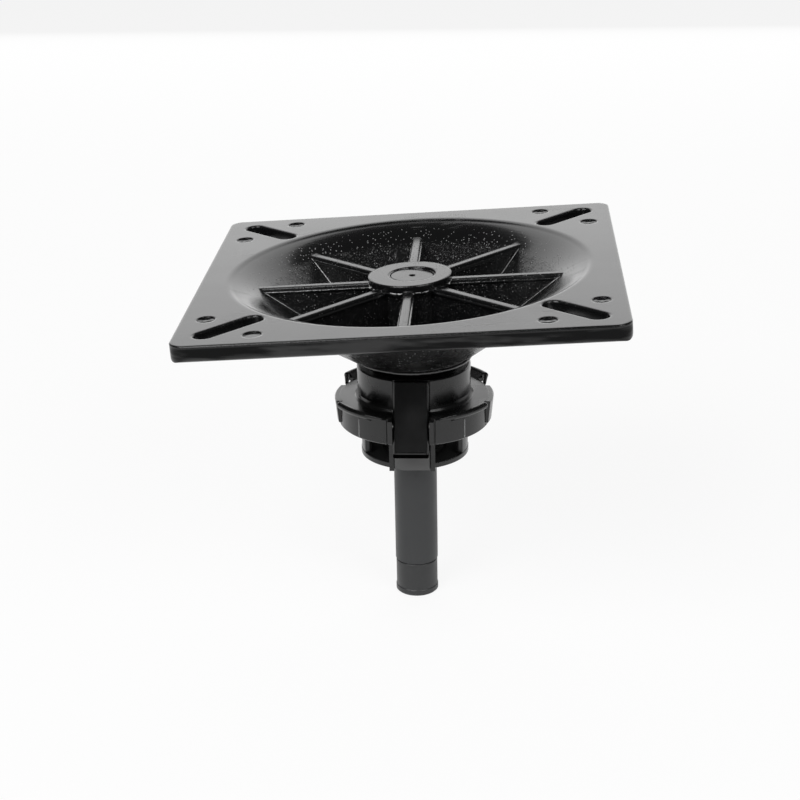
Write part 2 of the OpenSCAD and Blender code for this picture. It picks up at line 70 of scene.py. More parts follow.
# The casting's middle stands a little to the left of the pin's axis, seen from the lever
CASTING_MIDDLE = (-1.2 * MM, 0.0, SEAT_HEIGHT * MM)
BOWL_RADIUS = 74 * MM

# The bowl's inner wall as a line: depth at the axis, and drop for each unit of radius
WALL_DROP = 53.35 * MM
WALL_SLOPE = 0.733

# Place of the shallow round marks in the plate's plan, larger coordinate first, and their radius
MARK_PLACE = (78.6 * MM, 57.1 * MM)
MARK_RADIUS = 3.8 * MM

# The ribs: half thickness, drop of their tops below the plate's top, and draft
RIB_COUNT = 8
RIB_HALF = 2.0
RIB_DROP = 5.5
RIB_DRAFT = math.tan(math.radians(2))

# Radius and height along the bowl's wall, from a rib's outer end down to the hub
WALL_LINE = ((63.6, -6.9), (62.0, -7.9), (30.5, -31.0), (28.5, -31.2), (15.0, -31.2))

# Beads of paint along a rib's foot and side: radius, unevenness in millimetres, random seed
FOOT_BEAD = (1.35, 0.05, 3)
LEDGE_BEAD = (0.75, 0.1, 7)
# How deep the foot's bead sits in the rib's side and in the wall
FOOT_SINK = (0.3, 0.35)
# Radii between which the side's bead runs, how far out it lies and how far below the rib's top
LEDGE_REACH = (15.0, 62.9)
LEDGE_OUT = 0.05
LEDGE_DOWN = 2.1

# Beads round the pin's axis: name, ring's radius, bead's radius, height, unevenness, random seed
DISC_BEAD = ("disc_bead", 17.4, 0.8, -6.3, 0.3, 11)
NECK_BEADS = (("neck_bead", 24.6, 0.95, 20.9, 0.1, 5), ("pin_end_bead", 9.85, 0.4, 56.2, 0.1, 17))

# Faces round a straight bead, and steps along each span of it
BEAD_SIDES = 12
BEAD_SPAN = 20 * MM
BEAD_STEPS = 12
RING_SIDES = 8
RING_STEPS = 120
BEAD_SMOOTH = 60

# Radius of the skirt, and its seam ridges: turn from the lever, half width, crest, height, top
SKIRT_RADIUS = 33.000 * MM
SEAM_TURN = math.radians(43)
SEAM_HALF = 0.45 * MM
SEAM_CREST = 0.25 * MM
SEAM_PROUD = 0.1 * MM
SEAM_TOP = 0.2 * MM

# Radii inside and outside the cage's columns, and the height of its floor
CAGE_INSIDE = 21.6 * MM
CAGE_OUTSIDE = 23.6 * MM
CAGE_FLOOR = -21.5 * MM

# Half widths of the release lever's face and of its whole width, in millimetres
LEVER_FACE = 6.85
LEVER_HALF = 7.55

# Opposite corners of the lever's block and of its foot, in millimetres
LEVER_BLOCK = ((-LEVER_HALF, -37.0, -13.3), (LEVER_HALF, -25.05, 17.1))
LEVER_FOOT = ((-LEVER_HALF, -27.4, -22.6), (LEVER_HALF, -24.3, -9.4))

# The lever's face leans back to its top edge
LEVER_LEAN = Vector((0.0, -28.3, 9.5)).normalized()
LEVER_TOP = (0.0, -25.4, 17.1)

# A point and the cut side of each plane that trims the foot
FOOT_CUTS = (
    ((0.0, -26.3, -14.0), (0.0, -0.995, 0.07)),
    ((-6.5, -26.2, -14.0), (-0.4, -0.92, -0.06)),
)

# The fine ridge across the lever's face, and the bevel on the lever's edges
RIDGE_RADIUS = 0.4
RIDGE_PLACE = (0.0, -34.8, -11.3)
LEVER_BEVEL = 0.2 * MM

# Greys laid over the finishes, each standing in for light or shade
# Painted glint on the casting's specks, at their edges and in their middles
GLINT_EDGE_GREY = 0.16
GLINT_GREY = 0.3
# Painted highlight on the skirt's seam ridges
SEAM_HIGHLIGHT_GREY = 0.22
# Painted shade inside the cage and below the lever's ridge
SHADE_GREY = 0.001
# Painted reflection on the lever's foot
FOOT_REFLECTION_GREY = 0.075

# Noises of the casting's paint: features per metre, detail, roughness
PAINT_WAVES = (24, 1.0, 0.4)
PAINT_PEEL = (420, 2.0, 0.5)
PAINT_CLOUD = (120, 3.0, 0.55)
PAINT_HAZE = (55, 3.0, 0.55)
CAST_SALT = (1250, 1.0, 0.5)
CAST_GRAIN = (900, 4.0, 0.6)
CAST_PITS = (330, 3.0, 0.6)
EDGE_LUMPS = (520, 3.0, 0.6)
EDGE_STREAKS = (26, 3.0, 0.6)
SPECK_PATCHES = (45, 2.0, 0.55)
SPECK_CELLS = 860
SCRATCH_PATCHES = (30, 2.0, 0.55)
BEAD_LUMPS = (620, 3.0, 0.6)
BEAD_CLOUD = (200, 2.0, 0.55)
BEAD_HAZE = (90, 2.0, 0.55)

# Noises of the mouldings and the turned steel
SINK_MARKS = (90, 2.0, 0.4)
MOULD_GRAIN = (2200, 2.0, 0.5)
HANDLING_HAZE = (55, 4.0, 0.55)
PLASTIC_CLOUD = (160, 3.0, 0.55)
SEAM_BREAKS = (300, 2.0, 0.55)
TURNED_RINGS = (60, 3.0, 0.6)
PLATING_CLOUD = (75, 4.0, 0.55)

# Turn and scale of the two directions of scratches, and how much longer than wide they are
SCRATCH_WAYS = ((0.35, 16.0), (-0.9, 12.0))
SCRATCH_STRETCH = 26.0

# Depths of the bumps
WAVE_DEPTH = 0.12 * MM
PEEL_DEPTH = 0.006 * MM
MARK_DEPTH = 0.9 * MM
LUMP_DEPTH = 0.22 * MM
BEAD_LUMP_DEPTH = 0.14 * MM
SCRATCH_DEPTH = 0.03 * MM
MOULD_GRAIN_DEPTH = 0.003 * MM
RING_DEPTH = 0.004 * MM

# Radii to which the shading softens the mouldings' and the steel's edges
MOULDED_EDGE = 0.35 * MM
TURNED_EDGE = 0.3 * MM

# How metallic the pin's plating looks, and heights between which the paint on its end begins
PIN_METALLIC = 0.35
PIN_PAINT = (50 * MM, 52 * MM)

# The floor's own grey, the share of white in it for the camera and in reflections, and the
# strength of the world
FLOOR_GREY = 0.9
FLOOR_WHITE = 0.88
WORLD_STRENGTH = 0.06

# Name, place, target, width, height, power in watts of each softbox
SOFTBOXES = (
    ("back_softbox", (0.0, 1.35, 0.6), (0.0, 0.0, 0.21), 2.6, 1.36, 17.0),
    ("key_softbox", (-0.75, -1.1, 1.25), (0.0, 0.0, 0.0), 1.1, 1.1, 26.0),
    ("fill_softbox", (0.95, -1.1, 1.1), (0.0, 0.0, 0.0), 0.9, 0.9, 12.0),
)

# The camera's sensor in millimetres, and the distance at which it begins to see, in metres
SENSOR_WIDTH = 36.0
CLIP_START = 0.01


def grey(value, warm=0.0):
    """A neutral colour, a little warmer or colder."""
    return (value * (1 + warm), value, value * (1 - warm))


def shade(colour, share):
    """The colour made darker or lighter by that share."""
    return tuple(share * channel for channel in colour)


class SeatBaseFinishes(bpy.types.PropertyGroup):
    """Colours and gloss of the seat base"""

    paint: bpy.props.FloatVectorProperty(
        name="Casting paint", description="Colour of the black paint on the casting",
        subtype="COLOR", size=3, min=0, max=1, default=grey(0.0035, -0.03))
    paint_gloss: bpy.props.FloatProperty(
        name="Paint roughness", description="Roughness of the paint on the machined top",
        min=0, max=1, default=0.17, subtype="FACTOR")
    edge_round: bpy.props.FloatProperty(
        name="Edge softness", description="Radius to which the paint softens edges, in millimetres",
        min=0, max=3, default=1.5)
    cast_bump: bpy.props.FloatProperty(
        name="Cast texture", min=0, max=1, default=0.19,
        description="Depth of the sand-cast texture in the bowl, in millimetres")
    moulding: bpy.props.FloatVectorProperty(
        name="Collar plastic", description="Colour of the moulded collar",
        subtype="COLOR", size=3, min=0, max=1, default=grey(0.008, -0.02))
    lever: bpy.props.FloatVectorProperty(
        name="Lever plastic", description="Colour of the release lever",
        subtype="COLOR", size=3, min=0, max=1, default=grey(0.007, -0.03))
    pin: bpy.props.FloatVectorProperty(
        name="King pin", description="Colour of the plated king pin",
        subtype="COLOR", size=3, min=0, max=1, default=grey(0.048, -0.03))


class SeatBaseStage(bpy.types.PropertyGroup):
    """Camera and floor of the studio"""

    azimuth: bpy.props.FloatProperty(
        name="Azimuth", description="Turn of the camera round the pin, in degrees", default=3.55)
    elevation: bpy.props.FloatProperty(
        name="Elevation", description="Height of the camera above the horizon, in degrees",
        default=21.26)
    roll: bpy.props.FloatProperty(
        name="Roll", description="Tilt of the camera about its view, in degrees", default=-1.14)
    distance: bpy.props.FloatProperty(
        name="Distance", description="Distance from the camera to its target",
        default=0.766, unit="LENGTH")
    target: bpy.props.FloatVectorProperty(
        name="Target", description="Point at the middle of the picture",
        size=3, default=(-6.28 * MM, 0.0, -0.69 * MM), subtype="TRANSLATION", unit="LENGTH")
    lens: bpy.props.FloatProperty(
        name="Lens", description="Focal length in millimetres on a 36 mm sensor", default=78.6)
    floor_side: bpy.props.FloatProperty(
        name="Floor", description="Side of the pale floor", default=30.0, unit="LENGTH")


def new_material(name):
    """A material with its tree cleared down to one Principled shader."""
    material = bpy.data.materials.new(name)
    material.use_nodes = True
    tree = material.node_tree
    tree.nodes.clear()
    output = tree.nodes.new("ShaderNodeOutputMaterial")
    shader = tree.nodes.new("ShaderNodeBsdfPrincipled")
    tree.links.new(shader.outputs["BSDF"], output.inputs["Surface"])
    return material, tree, shader


def shader_of(material):
    """The material's tree and its Principled shader."""
    tree = material.node_tree
    return tree, next(node for node in tree.nodes if node.type == "BSDF_PRINCIPLED")


def add(tree, kind, **settings):
    """A node of that kind, with attributes and unlinked inputs set by name."""
    node = tree.nodes.new(kind)
    for key, value in settings.items():
        if hasattr(node, key):
            setattr(node, key, value)
        else:
            node.inputs[key.replace("_", " ")].default_value = value
    return node


def object_coordinates(tree):
    """The point on the piece, in metres in the part's own frame."""
    return add(tree, "ShaderNodeTexCoord").outputs["Object"]


def axes(tree):
    """The point's X, Y and Z as three sockets."""
    parts = add(tree, "ShaderNodeSeparateXYZ")
    tree.links.new(object_coordinates(tree), parts.inputs["Vector"])
    return parts.outputs["X"], parts.outputs["Y"], parts.outputs["Z"]


def stretched(tree, place, scale, turn=0.0):
    """The point turned about Z and scaled along each axis, to stretch a pattern."""
    node = add(tree, "ShaderNodeMapping", Rotation=(0.0, 0.0, turn), Scale=scale)
    tree.links.new(place, node.inputs["Vector"])
    return node.outputs["Vector"]


def noise(tree, place, texture):
    """A noise value at the place, from features per metre, detail and roughness."""
    scale, detail, roughness = texture
    node = add(tree, "ShaderNodeTexNoise", Scale=scale, Detail=detail, Roughness=roughness)
    tree.links.new(place, node.inputs["Vector"])
    return node.outputs["Fac"]


def ramp(tree, value, low, high, low_to=0.0, high_to=1.0):
    """value between low and high mapped smoothly to low_to and high_to."""
    node = add(tree, "ShaderNodeMapRange", interpolation_type="SMOOTHSTEP",
               From_Min=low, From_Max=high, To_Min=low_to, To_Max=high_to)
    tree.links.new(value, node.inputs["Value"])
    return node.outputs["Result"]


def maths(tree, operation, first, second=0.0):
    """A Math node on two sockets or numbers."""
    node = add(tree, "ShaderNodeMath", operation=operation)
    for socket, value in zip(node.inputs, (first, second)):
        if isinstance(value, (int, float)):
            socket.default_value = value
        else:
            tree.links.new(value, socket)
    return node.outputs["Value"]


def times(tree, first, *others):
    """The product of two or more sockets or numbers."""
    for other in others:
        first = maths(tree, "MULTIPLY", first, other)
    return first


def length(tree, first, second):
    """The length of a line with those two components."""
    squares = maths(tree, "ADD", times(tree, first, first), times(tree, second, second))
    return maths(tree, "SQRT", squares)


def blend_colour(tree, factor, first, second):
    """A colour between two plain colours."""
    node = add(tree, "ShaderNodeMix", data_type="RGBA", A=(*first, 1.0), B=(*second, 1.0))
    tree.links.new(factor, node.inputs["Factor"])
    return node.outputs["Result"]


def tint(tree, shader, amount, colour):
    """Lays a plain colour over the shader's own where the amount is one."""
    base = shader.inputs["Base Color"]
    node = add(tree, "ShaderNodeMix", data_type="RGBA", B=(*colour, 1.0))
    tree.links.new(amount, node.inputs["Factor"])
    tree.links.new(base.links[0].from_socket, node.inputs["A"])
    tree.links.new(node.outputs["Result"], base)


def bump(tree, height, distance, normal=None):
    """A bump of that depth in metres, over an earlier one if given."""
    node = add(tree, "ShaderNodeBump", Strength=1.0, Distance=distance)
    tree.links.new(height, node.inputs["Height"])
    if normal is not None:
        tree.links.new(normal, node.inputs["Normal"])
    return node.outputs["Normal"]


def soft_edges(tree, radius):
    """A normal that rounds the piece's edges and corners to that radius in metres."""
    return add(tree, "ShaderNodeBevel", samples=8, Radius=radius).outputs["Normal"]


def edge_mask(tree, soft_normal):
    """One where the softened normal leaves the true one, so along edges and in corners."""
    true_normal = add(tree, "ShaderNodeNewGeometry").outputs["True Normal"]
    node = add(tree, "ShaderNodeVectorMath", operation="DOT_PRODUCT")
    tree.links.new(soft_normal, node.inputs[0])
    tree.links.new(true_normal, node.inputs[1])
    return ramp(tree, node.outputs["Value"], 0.985, 0.92)


def link_finish(tree, shader, colour, roughness, normal):
    """Links a finish's colour, roughness and normal to its shader."""
    for name, value in (("Base Color", colour), ("Roughness", roughness), ("Normal", normal)):
        tree.links.new(value, shader.inputs[name])


def scratches(tree, place):
    """Sparse hairline scratches in two directions, in patches."""
    lines = []
    for turn, scale in SCRATCH_WAYS:
        wander = noise(tree, stretched(tree, place, (1.0, SCRATCH_STRETCH, 1.0), turn),
                       (scale, 2.0, 0.4))
        offset = maths(tree, "ABSOLUTE", maths(tree, "SUBTRACT", wander, 0.5))
        lines.append(ramp(tree, offset, 0.006, 0.001))
    patch = ramp(tree, noise(tree, place, SCRATCH_PATCHES), 0.55, 0.66)
    return times(tree, maths(tree, "MAXIMUM", *lines), patch)


def mark_dish(tree, across, along):
    """Height of the dished marks, from nought in their middle to one at their rim.

    The front left mark nearest the front edge is nearly filled in the photograph, so it stays flat.
    """
    leftward = maths(tree, "LESS_THAN", across, 0.0)
    wide, deep = maths(tree, "ABSOLUTE", across), maths(tree, "ABSOLUTE", along)
    frontward = maths(tree, "LESS_THAN", maths(tree, "ADD", along, wide), 0.0)
    larger = maths(tree, "SUBTRACT", maths(tree, "MAXIMUM", wide, deep), MARK_PLACE[0])
    smaller = maths(tree, "SUBTRACT", maths(tree, "MINIMUM", wide, deep), MARK_PLACE[1])
    dish = ramp(tree, length(tree, larger, smaller), 0.15 * MARK_RADIUS, MARK_RADIUS)
    return maths(tree, "MAXIMUM", dish, times(tree, leftward, frontward))


def casting_specks(tree, place):
    """Small specks of the rough paint, in about a third of the cells; their pale tint is a painted
    glint.
    """
    cells = add(tree, "ShaderNodeTexVoronoi", Scale=SPECK_CELLS)
    tree.links.new(place, cells.inputs["Vector"])
    chosen = add(tree, "ShaderNodeSeparateColor")
    tree.links.new(cells.outputs["Color"], chosen.inputs["Color"])
    kept = ramp(tree, chosen.outputs["Red"], 0.68, 0.7)
    return times(tree, ramp(tree, cells.outputs["Distance"], 0.32, 0.1), kept)


def speckled_area(tree, place, along, radius, depth):
    """Where the bowl's paint is speckled: high on its inner wall's far side, and all outside."""
    upper_wall = times(tree, ramp(tree, depth, -27 * MM, -17 * MM, 0.12, 1.0),
                       ramp(tree, along, -12 * MM, 8 * MM, 0.1, 1.0))
    wall_rise = maths(tree, "ADD", depth, WALL_DROP)
    over_wall = maths(tree, "SUBTRACT", wall_rise, times(tree, radius, WALL_SLOPE))
    outside = ramp(tree, over_wall, -1.0 * MM, -2.0 * MM)
    patches = ramp(tree, noise(tree, place, SPECK_PATCHES), 0.35, 0.6, 0.2, 1.0)
    below_rim = times(tree, ramp(tree, radius, BOWL_RADIUS * 0.98, BOWL_RADIUS * 0.93),
                      ramp(tree, depth, -1.5 * MM, -3.5 * MM))
    return times(tree, maths(tree, "MAXIMUM", upper_wall, outside), patches, below_rim)


def cast_texture(tree, place, rough_area, specks):
    """Height of the sand-cast grain and pits, with the specks standing on it."""
    salt = ramp(tree, noise(tree, place, CAST_SALT), 0.58, 0.7)
    grain = maths(tree, "ADD", noise(tree, place, CAST_GRAIN), times(tree, salt, 1.3))
    height = maths(tree, "ADD", times(tree, grain, 0.6), noise(tree, place, CAST_PITS))
    return maths(tree, "ADD", times(tree, height, rough_area), times(tree, specks, 2.4))


def edge_streaks(tree, place, radius, depth):
    """Level streaks on the plate's upright edge."""
    upright = times(tree, ramp(tree, depth, -1.0 * MM, -1.6 * MM),
                    ramp(tree, radius, BOWL_RADIUS * 1.05, BOWL_RADIUS * 1.1))
    streak = noise(tree, stretched(tree, place, (1.0, 1.0, 7.0)), EDGE_STREAKS)
    return times(tree, upright, ramp(tree, streak, 0.36, 0.56))


def casting_paint(settings):
    """Gloss black paint, smooth on the top face, speckled over the rough bowl with painted glints.
    """
    material, tree, shader = new_material("casting_paint")
    place = object_coordinates(tree)
    x, along, z = axes(tree)
    across = maths(tree, "SUBTRACT", x, CASTING_MIDDLE[0])
    radius = length(tree, across, along)
    pitch_lift = times(tree, across, math.tan(math.radians(PITCH)))
    depth = maths(tree, "SUBTRACT", maths(tree, "SUBTRACT", z, CASTING_MIDDLE[2]), pitch_lift)
    rough_area = times(tree, ramp(tree, radius, BOWL_RADIUS, BOWL_RADIUS * 0.82),
                       ramp(tree, depth, -6.2 * MM, -9 * MM))
    specks = times(tree, casting_specks(tree, place),
                   speckled_area(tree, place, along, radius, depth))

    soft = soft_edges(tree, settings.edge_round * MM)
    lumps = times(tree, noise(tree, place, EDGE_LUMPS), edge_mask(tree, soft))
    normal = bump(tree, noise(tree, place, PAINT_WAVES), WAVE_DEPTH, soft)
    normal = bump(tree, noise(tree, place, PAINT_PEEL), PEEL_DEPTH, normal)
    normal = bump(tree, mark_dish(tree, across, along), MARK_DEPTH, normal)
    normal = bump(tree, lumps, LUMP_DEPTH, normal)
    normal = bump(tree, cast_texture(tree, place, rough_area, specks),
                  settings.cast_bump * MM, normal)
    normal = bump(tree, scratches(tree, place), -SCRATCH_DEPTH, normal)

    colour = blend_colour(tree, noise(tree, place, PAINT_CLOUD),
                          settings.paint, shade(settings.paint, 1.5))
    haze = ramp(tree, noise(tree, place, PAINT_HAZE), 0.3, 0.7,
                settings.paint_gloss - 0.02, settings.paint_gloss + 0.03)
    roughness = maths(tree, "ADD", times(tree, rough_area, 0.08), haze)
    link_finish(tree, shader, colour, roughness, normal)
    # Painted glints: the raised specks are tinted pale grey over the black paint
    tint(tree, shader, specks, grey(GLINT_EDGE_GREY))
    tint(tree, shader, specks, grey(GLINT_GREY))
    dull = times(tree, edge_streaks(tree, place, radius, depth), 0.42)
    tree.links.new(maths(tree, "SUBTRACT", 0.5, dull), shader.inputs["Specular IOR Level"])
    return material


def paint_bead(settings):
    """The same black paint where it gathered thick and glossy in corners and along edges."""
    material, tree, shader = new_material("paint_bead")
    place = object_coordinates(tree)
    colour = blend_colour(tree, noise(tree, place, BEAD_CLOUD),
                          settings.paint, shade(settings.paint, 2.0))
    haze = ramp(tree, noise(tree, place, BEAD_HAZE), 0.3, 0.7, 0.08, 0.16)
    normal = bump(tree, noise(tree, place, BEAD_LUMPS), BEAD_LUMP_DEPTH)
    link_finish(tree, shader, colour, haze, normal)
    shader.inputs["Specular IOR Level"].default_value = 0.9
    return material


def moulded_plastic(name, colour, roughness, wave=0.03):
    """Black moulding with slight sink marks, fine grain and handling haze."""
    material, tree, shader = new_material(name)
    place = object_coordinates(tree)
    normal = bump(tree, noise(tree, place, SINK_MARKS), wave * MM, soft_edges(tree, MOULDED_EDGE))
    normal = bump(tree, noise(tree, place, MOULD_GRAIN), MOULD_GRAIN_DEPTH, normal)
    haze = ramp(tree, noise(tree, place, HANDLING_HAZE), 0.35, 0.7,
                roughness - 0.03, roughness + 0.08)
    tone = blend_colour(tree, noise(tree, place, PLASTIC_CLOUD), colour, shade(colour, 1.3))
    link_finish(tree, shader, tone, haze, normal)
    return material


def collar_finish(colour):
    """The collar's plastic, with a painted highlight on the skirt's seam ridges."""
    material = moulded_plastic("collar_plastic", colour, roughness=0.22)
    tree, shader = shader_of(material)
    x, y, z = axes(tree)
    across = times(tree, maths(tree, "ABSOLUTE", x), math.cos(SEAM_TURN))
    along = times(tree, maths(tree, "ABSOLUTE", y), math.sin(SEAM_TURN))
    apart = maths(tree, "ABSOLUTE", maths(tree, "SUBTRACT", across, along))
    proud = ramp(tree, length(tree, x, y), SKIRT_RADIUS, SKIRT_RADIUS + SEAM_PROUD)
    low = ramp(tree, z, SEAM_TOP, -SEAM_TOP)
    broken = ramp(tree, noise(tree, object_coordinates(tree), SEAM_BREAKS), 0.3, 0.5)
    seam = times(tree, ramp(tree, apart, SEAM_HALF, SEAM_CREST), proud, low, broken)
    # Painted highlight: the seam ridges are tinted paler than the plastic
    tint(tree, shader, seam, grey(SEAM_HIGHLIGHT_GREY))
    return material


def cage_finish(colour):
    """The collar's plastic, with painted shade, darker and duller, inside the cage."""
    material = moulded_plastic("cage_plastic", colour, roughness=0.26)
    tree, shader = shader_of(material)
    x, y, z = axes(tree)
    radius = length(tree, x, y)
    behind = ramp(tree, radius, CAGE_INSIDE + 0.6 * MM, CAGE_INSIDE)
    floor = times(tree, ramp(tree, z, CAGE_FLOOR - 0.15 * MM, CAGE_FLOOR - 0.05 * MM),
                  ramp(tree, z, CAGE_FLOOR + 0.3 * MM, CAGE_FLOOR + 0.2 * MM),
                  ramp(tree, radius, CAGE_OUTSIDE, CAGE_OUTSIDE - 0.8 * MM))
    # Painted shade over the inside of the cage's columns and on its floor, darker and duller
    inside = maths(tree, "MAXIMUM", behind, floor)
    tint(tree, shader, inside, grey(SHADE_GREY))
    roughness = shader.inputs["Roughness"]
    tree.links.new(maths(tree, "MAXIMUM", roughness.links[0].from_socket, inside), roughness)
    return material


def lever_finish(colour):
    """The lever's plastic, with painted shade below its ridge and a painted reflection on its foot.
    """
    material = moulded_plastic("lever_moulding", colour, roughness=0.2)
    tree, shader = shader_of(material)
    z = axes(tree)[2]
    # Painted shade below the lever's ridge: tinted dark, with its gloss lowered
    ridge_shade = times(tree, ramp(tree, z, -11.75 * MM, -11.95 * MM),
                  ramp(tree, z, -13.75 * MM, -13.55 * MM))
    tint(tree, shader, ridge_shade, grey(SHADE_GREY))
    # Painted reflection: the lever's foot is tinted paler
    tint(tree, shader, ramp(tree, z, -13.5 * MM, -13.9 * MM), grey(FOOT_REFLECTION_GREY))
    gloss = shader.inputs["Specular IOR Level"]
    dulled = maths(tree, "SUBTRACT", gloss.default_value, ridge_shade)
    tree.links.new(maths(tree, "MAXIMUM", dulled, 0.0), gloss)
    return material


def turned_steel(name, colour, roughness, metallic):
    """Steel turned about Z, with fine rings and a slightly cloudy plating."""
    material, tree, shader = new_material(name)
    place = object_coordinates(tree)
    rings = noise(tree, stretched(tree, place, (1.0, 1.0, 60.0)), TURNED_RINGS)
    normal = bump(tree, rings, RING_DEPTH, soft_edges(tree, TURNED_EDGE))
    cloud = noise(tree, place, PLATING_CLOUD)
    tone = blend_colour(tree, cloud, shade(colour, 0.85), shade(colour, 1.15))
    haze = ramp(tree, cloud, 0.3, 0.7, roughness - 0.04, roughness + 0.06)
    link_finish(tree, shader, tone, haze, normal)
    shader.inputs["Metallic"].default_value = metallic
    return material


def pin_finish(settings):
    """Satin plated steel, with the casting's gloss paint over the end in the hub."""
    material = turned_steel("plated_pin", settings.pin, 0.42, PIN_METALLIC)
    tree, shader = shader_of(material)
    painted = ramp(tree, axes(tree)[2], *PIN_PAINT)
    tint(tree, shader, painted, settings.paint)
    roughness = shader.inputs["Roughness"]
    drop = times(tree, painted, 0.22)
    tree.links.new(maths(tree, "SUBTRACT", roughness.links[0].from_socket, drop), roughness)
    bare = maths(tree, "SUBTRACT", 1.0, painted)
    tree.links.new(times(tree, bare, PIN_METALLIC), shader.inputs["Metallic"])
    return material


def coat(piece, material):
    """Gives the piece that material alone."""
    piece.data.materials.clear()
    piece.data.materials.append(material)


def dress(material, *names):
    """Puts the material on the CAD nodes of those names."""
    for name in names:
        coat(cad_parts[name], material)


def start_mesh(name):
    """Names the new primitive and opens it for editing with everything selected."""
    piece = bpy.context.object
    piece.name = name
    piece.data.name = name
    bpy.ops.object.mode_set(mode="EDIT")
    bpy.ops.mesh.select_all(action="SELECT")
    return piece


def close_mesh(smooth_degrees):
    """Merges doubles, turns the faces outwards, leaves edit mode and smooths the shading."""
    bpy.ops.mesh.select_all(action="SELECT")
    bpy.ops.mesh.remove_doubles(threshold=0.005 * MM)
    bpy.ops.mesh.normals_make_consistent(inside=False)
    bpy.ops.object.mode_set(mode="OBJECT")
    bpy.ops.object.transform_apply(location=True, rotation=True, scale=True)
    bpy.ops.object.shade_smooth_by_angle(angle=math.radians(smooth_degrees))


def apply_modifier(piece, kind, name, **settings):
    """Adds one modifier with those settings and applies it."""
    modifier = piece.modifiers.new(name, kind)
    for key, value in settings.items():
        setattr(modifier, key, value)
    bpy.ops.object.modifier_apply(modifier=modifier.name)


def bead_run(name, points, radius, rough, seed):
    """A round bead that runs through the points, a little uneven along its length."""
    bpy.ops.mesh.primitive_circle_add(
        vertices=BEAD_SIDES, radius=radius * MM, fill_type="NGON",
        location=Vector(points[0]) * MM, rotation=(0.0, math.radians(90), 0.0))
    piece = start_mesh(name)
    for begin, end in zip(points, points[1:]):
        stride = (Vector(end) - Vector(begin)) * MM
        count = max(1, round(BEAD_STEPS * stride.length / BEAD_SPAN))
        for _ in range(count):
            bpy.ops.mesh.extrude_region_move(
                TRANSFORM_OT_translate={"value": stride / count, "orient_type": "GLOBAL"})
    bpy.ops.mesh.select_all(action="SELECT")
    bpy.ops.transform.vertex_random(offset=rough * MM, uniform=0.0, normal=1.0, seed=seed)
    close_mesh(BEAD_SMOOTH)
    return piece


def ring_bead(name, major, minor, height, rough, seed):
    """An uneven bead of paint that runs round the pin's axis."""
    bpy.ops.mesh.primitive_torus_add(
        major_radius=major * MM, minor_radius=minor * MM, major_segments=RING_STEPS,
        minor_segments=RING_SIDES, location=(0.0, 0.0, height * MM))
    piece = start_mesh(name)
    bpy.ops.transform.vertex_random(offset=rough * MM, uniform=0.3, normal=1.0, seed=seed)
    close_mesh(BEAD_SMOOTH)
    return piece


def join(pieces, name):
    """Joins the pieces to one."""
    bpy.ops.object.select_all(action="DESELECT")
    for piece in pieces:
        piece.select_set(True)
    bpy.context.view_layer.objects.active = pieces[0]
    bpy.ops.object.join()
    joined = bpy.context.object
    joined.name = name
    joined.data.name = name
    return joined


def plate_matrix():
    """From the casting's own frame to the part's frame."""
    return (Matrix.Translation((0.0, 0.0, SEAT_HEIGHT * MM))
            @ Matrix.Rotation(math.radians(-PITCH), 4, "Y")
            @ Matrix.Translation((CASTING_MIDDLE[0], 0.0, 0.0)))


def rib_side_beads(side):
    """The beads along the foot and the side of the first rib, on that side of it."""
    foot_in, foot_down = FOOT_SINK
    foot = [(r, side * (RIB_HALF - (z + RIB_DROP) * RIB_DRAFT - foot_in), z - foot_down)
            for r, z in WALL_LINE]
    ledge = [(r, side * (RIB_HALF + LEDGE_OUT), -RIB_DROP - LEDGE_DOWN) for r in LEDGE_REACH]
    beads = []
    for name, path, (radius, rough, seed) in (("rib_foot", foot, FOOT_BEAD),
                                              ("rib_ledge", ledge, LEDGE_BEAD)):
        beads.append(bead_run(name, path, radius, rough, seed + side))
    return beads


class SEATBASE_OT_rib_beads(bpy.types.Operator):
    """Lays the paint beads and fillets along the ribs and round the hub"""

    bl_idname = "seatbase.rib_beads"
    bl_label = "Lay the ribs' beads"

    def execute(self, context):
        first = join(rib_side_beads(1) + rib_side_beads(-1), "rib_beads")
        copies = [first]
        for turn in range(1, RIB_COUNT):
            copy = first.copy()
            copy.data = first.data.copy()
            context.collection.objects.link(copy)
            copy.data.transform(Matrix.Rotation(turn * 2 * math.pi / RIB_COUNT, 4, "Z"))
            copies.append(copy)
        beads = join([*copies, ring_bead(*DISC_BEAD)], "rib_beads")
        beads.data.transform(plate_matrix())
        beads = join([beads, *(ring_bead(*bead) for bead in NECK_BEADS)], "rib_beads")
        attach(beads, "seat")
        coat(beads, paint_bead(context.scene.seat_base_finishes))
        bpy.ops.object.select_all(action="DESELECT")
        return {"FINISHED"}


def cut_plane(place, normal):
    """Cuts off what lies on the normal's side of a plane and closes the cut."""
    bpy.ops.mesh.select_all(action="SELECT")
    bpy.ops.mesh.bisect(plane_co=Vector(place) * MM, plane_no=Vector(normal).normalized(),
                        use_fill=True, clear_outer=True)


def block(name, low, high):
    """A cube stretched between two corners in millimetres, open for editing."""
    middle = [(a + b) / 2 * MM for a, b in zip(low, high)]
    size = [(b - a) * MM for a, b in zip(low, high)]
    bpy.ops.mesh.primitive_cube_add(size=1.0, location=middle)
    bpy.context.object.scale = size
    bpy.ops.object.transform_apply(location=True, rotation=True, scale=True)
    return start_mesh(name)


